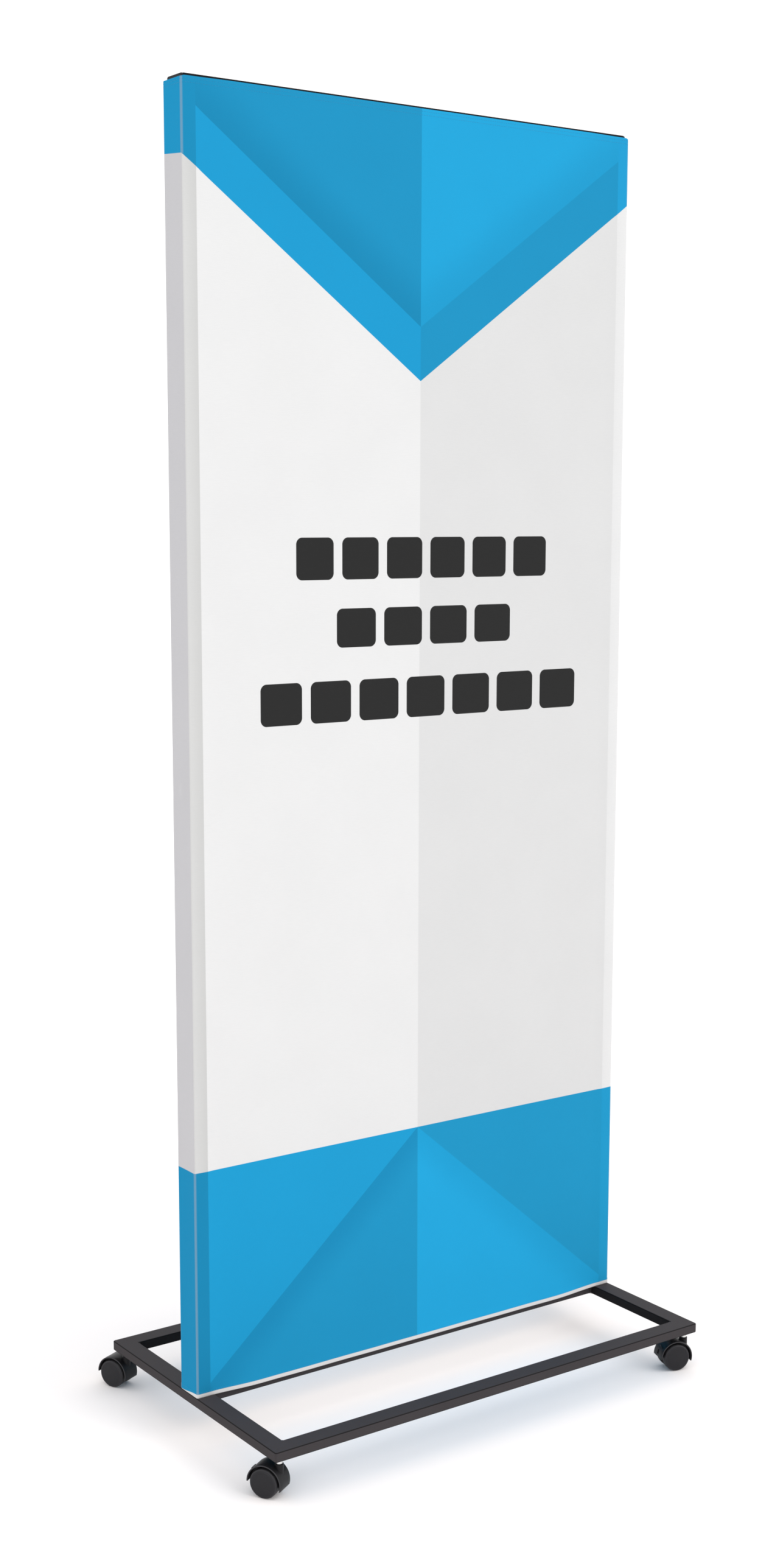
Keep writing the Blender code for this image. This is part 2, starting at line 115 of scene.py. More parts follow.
def piece(name, mesh, slot, body="stand", stands_for=(), sharp=TRUE_SHARP, square=False,
          finish=None):
    """A finished mesh, riding on a body in place of the CAD nodes it stands for. The level
    and upright faces of a square piece are kept truly flat between its rounded edges."""
    mesh.name = name
    mesh.materials.clear()
    mesh.materials.append(finish or finishes[slot])
    mesh.shade_smooth()
    mesh.set_sharp_from_angle(angle=sharp)
    if square:
        for face in mesh.polygons:
            face.use_smooth = max(abs(part) for part in face.normal) < 0.9995
    thing = in_scene(name, mesh)
    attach(thing, body)
    if stands_for:
        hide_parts(*stands_for)
    return thing


def mesh_of(shape):
    """A mesh from a closed bmesh, which is used up."""
    bmesh.ops.remove_doubles(shape, verts=shape.verts, dist=MERGE)
    bmesh.ops.recalc_face_normals(shape, faces=shape.faces)
    mesh = bpy.data.meshes.new("shape")
    shape.to_mesh(mesh)
    shape.free()
    return mesh


def settled(thing, *helpers):
    """The plain mesh that an object's modifiers make. The objects are used up."""
    bpy.context.view_layer.update()
    graph = bpy.context.evaluated_depsgraph_get()
    mesh = bpy.data.meshes.new_from_object(thing.evaluated_get(graph))
    for used in (thing, *helpers):
        bpy.data.objects.remove(used)
    return mesh


def carved(mesh, *steps):
    """The mesh after Booleans, each an operation and the mesh that does it."""
    base = in_scene("base", mesh)
    others = []
    for operation, other in steps:
        others.append(in_scene("other", other))
        modifier = base.modifiers.new(operation.lower(), "BOOLEAN")
        modifier.operation = operation
        modifier.solver = "EXACT"
        modifier.object = others[-1]
    return settled(base, *others)


def mark(mesh, name, share_at):
    """Gives every point its share of a mark for the finish to read: dust on a tread, or painted
    shade inside the base.
    """
    layer = mesh.attributes.new(name, "FLOAT", "POINT")
    for i, point in enumerate(mesh.vertices):
        layer.data[i].value = share_at(point.co)


# ======== shapes ========
def skin(shape, rings):
    """Closes a shape over rings of as many points each, and over both ends."""
    count = len(rings[0])
    for near, far in zip(rings, rings[1:]):
        for i in range(count):
            j = (i + 1) % count
            shape.faces.new((near[i], near[j], far[j], far[i]))
    shape.faces.new(list(reversed(rings[0])))
    shape.faces.new(rings[-1])


def drawn_in(outline, depth):
    """The outline with its rounded sides moved inwards, and the others left in place."""
    lines = []
    for (x, y, rounded), (end_x, end_y, _) in zip(outline, outline[1:] + outline[:1]):
        way = Vector((end_x - x, end_y - y)).normalized()
        inward = Vector((-way.y, way.x)) * (depth if rounded else 0)
        lines.append((Vector((x, y)) + inward, way))
    points = []
    for (start, way), (other, other_way) in zip(lines[-1:] + lines[:-1], lines):
        turn = way.cross(other_way)
        along = (other - start).cross(other_way) / turn if abs(turn) > MERGE else None
        points.append(other if along is None else start + way * along)
    return points


def bar(outline, low, high, radius):
    """A closed bar from its outline seen from above, anticlockwise. The outline is
    (x, y, rounded) points, and rounded says whether the side from that point to the next
    has rounded edges above and below."""
    turns = [pi / 2 * step / ROUND_STEPS for step in range(ROUND_STEPS + 1)]
    foot = [(radius * (1 - sin(turn)), radius * (1 - cos(turn))) for turn in turns]
    levels = [(depth, low + up) for depth, up in foot]
    levels += [(depth, high - down) for depth, down in reversed(foot)]
    shape = bmesh.new()
    skin(shape, [[shape.verts.new((*point, z)) for point in drawn_in(outline, depth)]
                 for depth, z in levels])
    # The edge mark peaks along the rounded edges: the powder coat paints it as a dark line of
    # painted shade, the caps as paler edges.
    edge = shape.verts.layers.float.new("edge")
    for point in shape.verts:
        depth = min(high - point.co.z, point.co.z - low) / radius
        point[edge] = sqrt(sin(pi * depth)) if 0 < depth < 1 else 0.0
    return mesh_of(shape)


def mitred(half_length, half_depth, width, corner):
    """Outline of a rail along X on the -Y side of a frame, mitred at both ends, with its
    share of each rounded outer corner."""
    whole = pi / 4 - SEAM / (corner * sqrt(2))
    turns = [whole * step / ROUND_STEPS for step in range(ROUND_STEPS + 1)]
    centre = Vector((half_length - corner, corner - half_depth))
    right = [centre + corner * Vector((sin(turn), -cos(turn))) for turn in turns]
    inner = Vector((half_length - SEAM - width, width - half_depth))
    points = [(-p.x, p.y, True) for p in reversed(right)] + [(p.x, p.y, True) for p in right]
    points[-1] = (right[-1].x, right[-1].y, False)
    return points + [(inner.x, inner.y, True), (-inner.x, inner.y, False)]


def turned(profile, facets):
    """A closed shape turned round Z from (radius, height, edge) points. It starts and ends on
    the axis, or else closes on itself as a ring. edge is the point's share of the edge mark:
    paler edges on zinc, a painted highlight on the wheels."""
    shape = bmesh.new()
    layer = shape.verts.layers.float.new("edge")
    rings = []
    for radius, height, edge in profile:
        count = facets if radius > MERGE else 1
        ring = []
        for i in range(count):
            angle = 2 * pi * i / facets
            point = shape.verts.new((radius * cos(angle), radius * sin(angle), height))
            point[layer] = edge
            ring.append(point)
        rings.append(ring)
    pairs = list(zip(rings, rings[1:]))
    if len(rings[0]) > 1:
        pairs.append((rings[-1], rings[0]))
    for first, second in pairs:
        for i in range(facets):
            j = (i + 1) % facets
            corners = [first[i % len(first)], first[j % len(first)],
                       second[j % len(second)], second[i % len(second)]]
            shape.faces.new(list(dict.fromkeys(corners)))
    return mesh_of(shape)


def fillet(centre, radius, start, end, steps, edge=1.0):
    """Profile points round a small corner. The edge mark is strongest at its middle."""
    points = []
    for step in range(steps + 1):
        angle = start + (end - start) * step / steps
        share = sin(pi * step / steps) * edge
        points.append((centre[0] + radius * cos(angle), centre[1] + radius * sin(angle), share))
    return points


def lines_mesh(lines, closed=False):
    """Edges along lines of points, for Geometry Nodes to follow."""
    points, edges = [], []
    for line in lines:
        first, count = len(points), len(line)
        points += line
        edges += [(first + i, first + (i + 1) % count)
                  for i in range(count if closed else count - 1)]
    mesh = bpy.data.meshes.new("lines")
    mesh.from_pydata(points, edges, [])
    return mesh


# ======== nodes ========
def feed(tree, socket, value):
    """Links a node's output into a socket, or sets the socket to a plain value."""
    value = getattr(value, "socket", value)
    if isinstance(value, bpy.types.NodeSocket):
        tree.links.new(value, socket)
    else:
        socket.default_value = value


def node(tree, kind, feeds, **settings):
    """A new node, with its settings made first and then its sockets fed."""
    made = tree.nodes.new(kind)
    for label, setting in settings.items():
        setattr(made, label, setting)
    for label, value in feeds.items():
        feed(tree, made.inputs[label], value)
    return made


# ---- Geometry Nodes: beads along a line ----
BALL_SEGMENTS, BALL_RINGS = 8, 4
BEAD_SEED = 11


def bead_tree():
    """Rounded beads laid end to end along a line: stitches, or the ripples of a weld."""
    tree = bpy.data.node_groups.new("Beads along a line", "GeometryNodeTree")
    for label, kind in (("Line", "Geometry"), ("Pitch", "Float"), ("Bead length", "Float"),
                        ("Bead radius", "Float"), ("Unevenness", "Float"),
                        ("Finish", "Material")):
        tree.interface.new_socket(label, in_out="INPUT", socket_type="NodeSocket" + kind)
    tree.interface.new_socket("Beads", in_out="OUTPUT", socket_type="NodeSocketGeometry")
    given = tree.nodes.new("NodeGroupInput").outputs

    def step(kind, feeds, output=0, **settings):
        return node(tree, kind, feeds, **settings).outputs[output]

    curve = step("GeometryNodeMeshToCurve", {"Mesh": given["Line"]})
    spaced = step("GeometryNodeResampleCurve", {"Curve": curve, "Length": given["Pitch"]},
                  mode="LENGTH")
    ball = step("GeometryNodeMeshUVSphere",
                {"Segments": BALL_SEGMENTS, "Rings": BALL_RINGS, "Radius": 1})
    half = step("ShaderNodeMath", {0: given["Bead length"], 1: 0.5}, operation="MULTIPLY")
    size = step("ShaderNodeCombineXYZ",
                {"X": half, "Y": given["Bead radius"], "Z": given["Bead radius"]})
    bead = step("GeometryNodeTransform", {"Geometry": ball, "Scale": size})
    tangent = step("GeometryNodeInputTangent", {})
    aim = step("FunctionNodeAlignRotationToVector", {"Vector": tangent}, axis="X")
    least = step("ShaderNodeMath", {0: 1, 1: given["Unevenness"]}, operation="SUBTRACT")
    # A random node's third and fourth inputs and second output are its plain numbers.
    vary = step("FunctionNodeRandomValue", {2: least, 3: 1, "Seed": BEAD_SEED}, 1,
                data_type="FLOAT")
    laid = step("GeometryNodeInstanceOnPoints",
                {"Points": spaced, "Instance": bead, "Rotation": aim, "Scale": vary})
    real = step("GeometryNodeRealizeInstances", {"Geometry": laid})
    painted = step("GeometryNodeSetMaterial", {"Geometry": real, "Material": given["Finish"]})
    node(tree, "NodeGroupOutput", {"Beads": painted})
    return tree


def beads(tree, line, finish, **sizes):
    """The plain mesh that the tree makes along a line."""
    holder = in_scene("line holder", line)
    modifier = holder.modifiers.new("beads", "NODES")
    modifier.node_group = tree
    wanted = {label.replace("_", " ").capitalize(): value for label, value in sizes.items()}
    wanted["Finish"] = finish
    for item in tree.interface.items_tree:
        if item.in_out == "INPUT" and item.name in wanted:
            modifier[item.identifier] = wanted[item.name]
    return settled(holder)


# ======== materials ========
class Value:
    """A node's output that is reckoned with like a number. Each step is a Math node."""

    def __init__(self, finish, socket):
        self.finish, self.socket = finish, socket

    def __add__(self, other):
        return self.finish.maths("ADD", self, other)

    def __sub__(self, other):
        return self.finish.maths("SUBTRACT", self, other)

    def __rsub__(self, other):
        return self.finish.maths("SUBTRACT", other, self)

    def __mul__(self, other):
        return self.finish.maths("MULTIPLY", self, other)

    def __truediv__(self, other):
        return self.finish.maths("DIVIDE", self, other)

    def __abs__(self):
        return self.finish.maths("ABSOLUTE", self)


class Finish:
    """One material and the nodes it is mixed from."""

    def __init__(self, name, **settings):
        self.material = bpy.data.materials.new(name)
        self.material.use_nodes = True
        self.tree = self.material.node_tree
        self.sockets = self.tree.nodes["Principled BSDF"].inputs
        for label, value in settings.items():
            self.sockets[label.replace("_", " ")].default_value = value

    def add(self, kind, feeds, output=0, **settings):
        return Value(self, node(self.tree, kind, feeds, **settings).outputs[output])

    def maths(self, operation, *values):
        return self.add("ShaderNodeMath", dict(enumerate(values)), operation=operation)

    def share(self, value, low, high, to_low=0.0, to_high=1.0, kind="SMOOTHSTEP"):
        return self.add("ShaderNodeMapRange", {
            "Value": value, "From Min": low, "From Max": high,
            "To Min": to_low, "To Max": to_high}, interpolation_type=kind)

    def mix(self, share, first, second, blend="MIX"):
        return self.add("ShaderNodeMix", {0: share, 6: first, 7: second}, 2,
                        data_type="RGBA", blend_type=blend)

    def mix_value(self, share, first, second):
        return self.add("ShaderNodeMix", {0: share, 2: first, 3: second}, data_type="FLOAT")

    def place(self):
        return self.add("ShaderNodeTexCoord", {}, "Object")

    def split(self, vector):
        parts = node(self.tree, "ShaderNodeSeparateXYZ", {"Vector": vector}).outputs
        return [Value(self, part) for part in parts]

    def stretched(self, vector, scale):
        return self.add("ShaderNodeMapping", {"Vector": vector, "Scale": scale})

    def noise(self, vector, scale, detail=2.0, roughness=0.5):
        return self.add("ShaderNodeTexNoise", {
            "Vector": vector, "Scale": scale, "Detail": detail, "Roughness": roughness})

    def attribute(self, name):
        return self.add("ShaderNodeAttribute", {}, "Fac", attribute_name=name)

    def finish(self, colour, roughness=None, height=None, depth=0.0001, strength=1.0):
        """Plugs what varies into the shader. depth is the bump's real depth."""
        feed(self.tree, self.sockets["Base Color"], colour)
        if roughness is not None:
            feed(self.tree, self.sockets["Roughness"], roughness)
        if height is not None:
            feed(self.tree, self.sockets["Normal"], self.add("ShaderNodeBump", {
                "Height": height, "Distance": depth, "Strength": strength}))
        return self.material


def powder_coat():
    """Satin black powder coat: orange peel, a few dull rubs, and painted shade: a dark line
    along the rounded edges, and darker faces inside the base and on the top rail's sides and
    underside."""
    made = Finish("powder coat", Specular_IOR_Level=0.06)
    place = made.place()
    peel = made.noise(place, 620, 2, 0.55)
    grit = made.noise(place, 2600, 1)
    cloud = made.noise(place, 14, 4, 0.6)
    rub = made.share(made.noise(made.stretched(place, (30, 30, 140)), 1.0, 6, 0.7), 0.58, 0.74)
    colour = made.mix(cloud, (0.041, 0.0370, 0.0392, 1), (0.053, 0.0480, 0.0505, 1))
    colour = made.mix(rub * 0.35, colour, (0.062, 0.061, 0.066, 1))
    # Painted shade: a near-black line along the tubes' rounded edges, where the edge mark peaks.
    colour = made.mix(made.attribute("edge") * 0.94, colour, (0.0030, 0.0030, 0.0034, 1))
    # Painted shade: darker on the inward faces of the base's rails and on the top rail's sides
    # and underside.
    colour = made.mix(made.attribute("inside") * 0.85, colour, (0.003, 0.003, 0.0033, 1))
    rough = made.share(cloud, 0.2, 0.8, 0.58, 0.68) + rub * 0.12
    return made.finish(colour, rough, peel * 0.8 + grit * 0.2, depth=0.00009, strength=0.55)


def moulded(name, dark, light, scuff_and_highlight, rough, spark, depth, specular):
    """Moulded black plastic: spark-eroded grain, faint flow marks and paler edges (a painted
    highlight on hoods).
    """
    made = Finish(name, Specular_IOR_Level=specular)
    place = made.place()
    cloud = made.noise(place, 45, 3, 0.55)
    scuff = made.share(made.noise(made.stretched(place, (500, 60, 90)), 1.0, 5, 0.7), 0.60, 0.78)
    colour = made.mix(cloud, (*dark, 1), (*light, 1))
    colour = made.mix(scuff * 0.25, colour, (*scuff_and_highlight, 1))
    # Paler edges: a painted highlight along the hood's rim, and paler rounded edges on the caps.
    colour = made.mix(made.attribute("edge") * 0.55, colour, (*scuff_and_highlight, 1))
    roughness = made.share(cloud, 0.2, 0.8, rough - 0.05, rough + 0.06) + scuff * 0.15
    return made.finish(colour, roughness, made.noise(place, spark, 2, 0.6), depth, strength=0.6)


def wheel_plastic():
    """Dark grey nylon: fine grain, and dust worked into the tread."""
    made = Finish("wheel plastic", Specular_IOR_Level=0.22)
    place = made.place()
    cloud = made.noise(place, 60, 4, 0.6)
    dust = made.attribute("tread") * made.share(made.noise(place, 240, 5, 0.7), 0.35, 0.75)
    colour = made.mix(cloud, (0.0100, 0.0097, 0.0118, 1), (0.0160, 0.0157, 0.0185, 1))
    colour = made.mix(dust * 0.35, colour, (0.080, 0.077, 0.074, 1))
    # Painted highlight: paler on the rounded shoulders and rim of each wheel, where the edge mark
    # lies.
    colour = made.mix(made.attribute("edge") * 0.5, colour, (0.070, 0.069, 0.076, 1))
    rough = made.share(cloud, 0.2, 0.8, 0.36, 0.46) + dust * 0.35
    return made.finish(colour, rough, made.noise(place, 1900, 2, 0.6), 0.00006, 0.6)


def zinc_plate():
    """Bright zinc plate: blotchy passivation and fine marks from turning."""
    made = Finish("zinc plate", Metallic=1.0)
    place = made.place()
    blotch = made.noise(place, 180, 4, 0.6)
    marks = made.noise(made.stretched(place, (40, 40, 5200)), 1.0, 2, 0.5)
    colour = made.mix(blotch, (0.62, 0.62, 0.60, 1), (0.80, 0.80, 0.79, 1))
    colour = made.mix(made.attribute("edge") * 0.4, colour, (0.90, 0.90, 0.90, 1))
    return made.finish(colour, made.share(blotch, 0.25, 0.75, 0.24, 0.42), marks, 0.00003, 0.5)


def grip_tape():
    """Black hook-and-loop tape: a dense nap of fine loops."""
    made = Finish("grip tape", Specular_IOR_Level=0.1, Sheen_Weight=0.4, Sheen_Roughness=0.5)
    place = made.place()
    nap = made.noise(place, 1500, 5, 0.8)
    patch = made.noise(place, 90, 3)
    colour = made.mix(nap, (0.006, 0.006, 0.007, 1), (0.030, 0.030, 0.033, 1))
    return made.finish(colour, made.share(patch, 0.2, 0.8, 0.85, 1.0), nap, 0.0005, 0.9)


def thread(name, dark, light):
    """Spun polyester sewing thread, with its twist."""
    made = Finish(name, Specular_IOR_Level=0.2, Sheen_Weight=0.3)
    twist = made.noise(made.stretched(made.place(), (3800, 3800, 1900)), 1.0, 2, 0.6)
    return made.finish(made.mix(twist, dark, light), made.share(twist, 0.2, 0.8, 0.65, 0.85),
                       twist, 0.00008, 0.7)


# ---- the cover's print ----
# Places on the print, from the middle of a face and from the cover's top or the print's foot.
OUTER_DIP, OUTER_EDGE = 0.386, 0.101    # the header's lower line, at the middle and the side
INNER_DIP, INNER_EDGE, INNER_REACH = 0.308, 0.036, 0.380
FOOTER = 0.337
PEAK_FOOT, PEAK_REACH = 0.0085, 0.3835
INNER_SHADE, PEAK_SHADE = 0.075, 0.060  # how far in the folds' shading reaches
HEADER_CLIMB = 0.0045                   # rise of the header's line towards a side's back
LINE_SOFT = 0.0002                      # half the width in which one ink turns to the next
SIDE_TURN = 0.0009                      # where a corner's cloth counts as the side's
CORNER_HIGHLIGHT_FROM, CORNER_HIGHLIGHT_FULL = 0.0036, 0.0015   # where the painted highlight runs down a corner
WORDS_ASIDE = 0.012
WORD_ROWS = (                           # blocks, half length, depth below the top, height
    (6, 0.239, 0.644, 0.061),
    (4, 0.169, 0.745, 0.057),
    (7, 0.301, 0.852, 0.061),
)
BLOCK_GAP, BLOCK_ROUND = 0.015, 0.010

# Display colours of the inks, on the left and the right half of a face.
WHITE = (241, 241, 241), (230, 230, 230)
BAND = (36, 161, 215), (37, 153, 202)
INNER, INNER_FOLD = ((37, 153, 202), (40, 171, 225)), ((33, 143, 190), (38, 162, 214))
FOOT = (37, 165, 219), (38, 157, 206)
PEAK, PEAK_FOLD = ((38, 158, 208), (41, 176, 232)), ((34, 149, 199), (38, 168, 222))
# The strips over the posts are ink with painted light: painted shade on each face's left strip, a
# painted highlight on its right strip.
STRIP_IN_PAINTED_LIGHT, STRIP_OUT_PAINTED_LIGHT = ((214, 214, 213), (237, 237, 237)), ((223, 223, 222), (240, 240, 240))
STRIP_HEAD_PAINTED_LIGHT, STRIP_FOOT_PAINTED_LIGHT = ((34, 147, 195), (38, 163, 217)), ((34, 144, 191), (37, 160, 211))
# And of what is one colour all over.
SIDE_WHITE, SIDE_HEAD, SIDE_FOOT = (207, 206, 209), (34, 152, 202), (35, 146, 194)
WORDS, CORNER_HIGHLIGHT_INK, BARE_HEM = (51, 51, 51), (150, 178, 198), (238, 236, 235)

# How brightly the faces stand in the light, where 1 is a white card's own, and the white
# that the cloth's own slight gloss adds.
FRONT_LIGHT, FRONT_GLEAM = 1.345, 0.006
SIDE_LIGHT, SIDE_GLEAM = 1.245, 0.012

WALE_PITCH, COURSE_PITCH = 0.00095, 0.0012


def tone(red, green, blue, light=FRONT_LIGHT, gleam=FRONT_GLEAM):
    """The ink that shows as a display colour on a face lit this brightly."""
    shown = [((part / 255 + 0.055) / 1.055) ** 2.4 for part in (red, green, blue)]
    return tuple(max(0.001, part - gleam) / light for part in shown) + (1,)


def word_row(made, across, drop, count, half, depth, height):
    """One row of plain rounded blocks, where a line of words would go."""
    pitch = 2 * half / count
    aside = across - WORDS_ASIDE
    cell = made.maths("FRACT", (aside + half) / pitch)
    past_x = abs(cell - 0.5) * pitch - ((pitch - BLOCK_GAP) / 2 - BLOCK_ROUND)
    past_z = abs(drop - depth) - (height / 2 - BLOCK_ROUND)
    past_x, past_z = made.maths("MAXIMUM", past_x, 0), made.maths("MAXIMUM", past_z, 0)
    away = made.maths("SQRT", past_x * past_x + past_z * past_z)
    block = made.share(away, BLOCK_ROUND + LINE_SOFT, BLOCK_ROUND - LINE_SOFT, kind="LINEAR")
    return block * made.maths("LESS_THAN", abs(aside), half)


def cover_cloth():
    """Printed stretch polyester: the artwork, painted light on the strips over the posts,
    a painted highlight down the corners, and a fine knit.
    """
    made = Finish("printed knit cloth", Specular_IOR_Level=0.10, Sheen_Weight=0.03,
                  Sheen_Roughness=0.4)
    x, y, z = made.split(made.place())
    weave = made.add("ShaderNodeUVMap", {}, uv_map="weave")
    along, up, _ = made.split(weave)
    reach = abs(x)
    across = x * made.maths("SIGN", y * -1)
    drop, rise = COVER_TOP - z, z - PRINT_LOW

    def over(value):
        return made.share(value, -LINE_SOFT, LINE_SOFT, kind="LINEAR")

    def halves(field):
        return made.mix(right_half, tone(*field[0]), tone(*field[1]))

    def folded(inside, width, field, fold):
        """A field that is darker beside its edge."""
        return made.mix(made.share(inside, 0.0, width, 1.0, 0.0), halves(field), halves(fold))

    def on_side(shown):
        return tone(*shown, SIDE_LIGHT, SIDE_GLEAM)

    right_half = over(across)
    side = over(reach - (HALF_LENGTH - SIDE_TURN))
    strip = over(reach - (HALF_LENGTH - STRIP))

    outer_slope = (OUTER_DIP - OUTER_EDGE) / HALF_LENGTH
    inner_slope = (INNER_DIP - INNER_EDGE) / INNER_REACH
    peak_slope = (FOOTER - PEAK_FOOT) / PEAK_REACH
    header = over(OUTER_DIP - reach * outer_slope - drop)
    into_inner = (INNER_DIP - reach * inner_slope - drop) * cos(atan(inner_slope))
    footer = over(FOOTER - rise)
    into_peak = (FOOTER - reach * peak_slope - rise) * cos(atan(peak_slope))

    inner = folded(into_inner, INNER_SHADE, INNER, INNER_FOLD)
    peak = folded(into_peak, PEAK_SHADE, PEAK, PEAK_FOLD)
    face = made.mix(header, halves(WHITE), made.mix(over(into_inner), halves(BAND), inner))
    face = made.mix(footer, face, made.mix(over(into_peak), halves(FOOT), peak))

    # Painted light on the strips over the posts: darker on the left strip, lighter on the right
    # one.
    near_edge = made.share(reach, HALF_LENGTH - STRIP, HALF_LENGTH - 0.002, kind="LINEAR")
    strip_white_painted_light = made.mix(near_edge, halves(STRIP_IN_PAINTED_LIGHT), halves(STRIP_OUT_PAINTED_LIGHT))
    strip_blue_painted_light = made.mix(footer, halves(STRIP_HEAD_PAINTED_LIGHT), halves(STRIP_FOOT_PAINTED_LIGHT))
    climb = made.share(y, -HALF_DEPTH, HALF_DEPTH, kind="LINEAR") * HEADER_CLIMB
    header = made.mix_value(side, header, over(OUTER_EDGE - climb - drop))
    blue = made.maths("MAXIMUM", header, footer)
    face = made.mix(strip, face, made.mix(blue, strip_white_painted_light, strip_blue_painted_light))
    words = 0.0
    for row in WORD_ROWS:
        words = made.maths("MAXIMUM", words, word_row(made, across, drop, *row))
    face = made.mix(words, face, tone(*WORDS))

    side_blue = made.mix(footer, on_side(SIDE_HEAD), on_side(SIDE_FOOT))
    colour = made.mix(side, face, made.mix(blue, on_side(SIDE_WHITE), side_blue))

    # Painted highlight: paler ink down each rounded corner of the blue fields.
    from_corner = (HALF_LENGTH - reach) + (HALF_DEPTH - abs(y))
    thin = made.share(from_corner, CORNER_HIGHLIGHT_FROM, CORNER_HIGHLIGHT_FULL) * blue
    colour = made.mix(thin * 0.60, colour, tone(*CORNER_HIGHLIGHT_INK))

    # The bare hem shows below the print, and rolls under towards the back of each side.
    toward_back = made.share(y, -HALF_DEPTH, HALF_DEPTH)
    bare = made.share(toward_back, 0.0, 1.0, PRINT_LOW, COVER_LOW + 0.0006, "LINEAR")
    colour = made.mix(over(bare - up), colour, tone(*BARE_HEM))

    # The knit: wales up the cloth and courses across it, with a slight slub.
    wale = made.maths("SINE", along * (2 * pi / WALE_PITCH))
    course = made.maths("SINE", up * (2 * pi / COURSE_PITCH) + wale * 0.9)
    knit = wale * 0.5 + course * 0.5
    slub = made.noise(made.stretched(weave, (70, 700, 1)), 1.0, 4, 0.6)
    cloud = made.noise(weave, 9, 3, 0.5)
    shade = knit * 0.018 + made.share(slub, 0.2, 0.8, 0.975, 1.0)
    shade = shade * made.share(cloud, 0.25, 0.75, 0.990, 1.008)
    grey = made.add("ShaderNodeCombineColor", {"Red": shade, "Green": shade, "Blue": shade})
    colour = made.mix(1.0, colour, grey, "MULTIPLY")
    rough = made.share(slub, 0.2, 0.8, 0.78, 0.92)
    return made.finish(colour, rough, knit + slub * 1.6, depth=0.00001, strength=0.7)


finishes = {
    "powder_coat": powder_coat(),
    "hood_plastic": moulded(
        "hood plastic", dark=(0.006, 0.0058, 0.0068), light=(0.011, 0.0106, 0.0125),
        scuff_and_highlight=(0.060, 0.059, 0.064), rough=0.38, spark=2400, depth=0.00004, specular=0.18),
    "cap_plastic": moulded(
        "cap plastic", dark=(0.005, 0.0045, 0.005), light=(0.009, 0.0085, 0.009),
        scuff_and_highlight=(0.030, 0.029, 0.031), rough=0.50, spark=1800, depth=0.00006, specular=0.15),
    "wheel_plastic": wheel_plastic(),
    "zinc": zinc_plate(),
    "grip_tape": grip_tape(),
    "cover_cloth": cover_cloth(),
}
blue_thread = thread("blue thread", (0.009, 0.215, 0.40, 1), (0.012, 0.250, 0.46, 1))


# ======== base frame ========
def base_frame():
    """The four mitred rails, the crossbar under the panel and the top rail."""
    low, high = base_low.z, base_high.z
    for turns, name in enumerate(("front_rail", "right_rail", "rear_rail", "left_rail")):
        size = (base_high.x, base_high.y) if turns % 2 == 0 else (base_high.y, base_high.x)
        rail = bar(mitred(*size, RAIL_WIDTH, CORNER_ROUND), low, high, RAIL_ROUND)
        inner = RAIL_WIDTH - size[1]
        # Painted shade: the inward faces of each rail are marked to be darkened.
        mark(rail, "inside",
             lambda at: ease(at.y, inner - RAIL_ROUND, inner - RAIL_ROUND * 0.2))
        rail.transform(Matrix.Rotation(turns * pi / 2, 4, "Z"))
        piece(f"{name}_tube", rail, "powder_coat", stands_for=[name], square=True)
    for name in ("crossbar", "top_rail"):
        start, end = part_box(name)
        outline = [(start.x, start.y, True), (end.x, start.y, False),
                   (end.x, end.y, True), (start.x, end.y, False)]
        tube = bar(outline, start.z, end.z, RAIL_ROUND)
        if name == "top_rail":
            # Painted shade: all but the top of the top rail is marked to be darkened.
            mark(tube, "inside", lambda at: ease(end.z - at.z, RAIL_ROUND * 0.2, RAIL_ROUND))
        piece(f"{name}_tube", tube, "powder_coat", stands_for=[name], square=True)


def welds(tree):
    """Fillet welds up the inside corners of the base, under the same coat as the tubes."""
    tuck = WELD_RADIUS * 0.35
    x = base_high.x - RAIL_WIDTH - tuck
    corner_y, crossbar_y = base_high.y - RAIL_WIDTH - tuck, RAIL_WIDTH / 2 + tuck
    low, high = base_low.z + RAIL_ROUND, base_high.z - RAIL_ROUND
    for name, y in (("corner_welds", corner_y), ("crossbar_welds", crossbar_y)):
        lines = [[(sx * x, sy * y, low), (sx * x, sy * y, high)]
                 for sx in (-1, 1) for sy in (-1, 1)]
        mesh = beads(tree, lines_mesh(lines), finishes["powder_coat"], pitch=WELD_PITCH,
                     bead_length=2.2 * WELD_PITCH, bead_radius=WELD_RADIUS, unevenness=0.14)
        piece(name, mesh, "powder_coat", sharp=radians(60))


def rail_caps():
    """Moulded caps with a rounded face, at both ends of the top rail."""
    rail_low, rail_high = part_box("top_rail")
    for name, side in (("left_cap", -1), ("right_cap", 1)):
        low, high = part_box(name)
        end = high.x if side > 0 else low.x
        thick = abs((rail_high.x if side > 0 else rail_low.x) - end)
        flat_y, flat_z = (high.y - low.y) / 2 - CAP_CORNER, (high.z - low.z) / 2 - CAP_CORNER
        outline = []
        for quarter, (a, b) in enumerate(((1, 1), (-1, 1), (-1, -1), (1, -1))):
            outline += [(u, v, True) for u, v, _ in fillet(
                (a * flat_y, b * flat_z), CAP_CORNER, quarter * pi / 2,
                (quarter + 1) * pi / 2, ROUND_STEPS)]
        cap = bar(outline, 0, thick - 2 * SEAM, CAP_ROUND)
        # The outline's own X and Y become Y and Z, and its thickness runs inwards.
        axes = Matrix(((0, 0, -side, end), (1, 0, 0, 0),
                       (0, 1, 0, (low.z + high.z) / 2), (0, 0, 0, 1)))
        cap.transform(axes)
        if axes.to_3x3().determinant() < 0:
            cap.flip_normals()
        piece(f"{name}_moulding", cap, "cap_plastic", stands_for=[name])


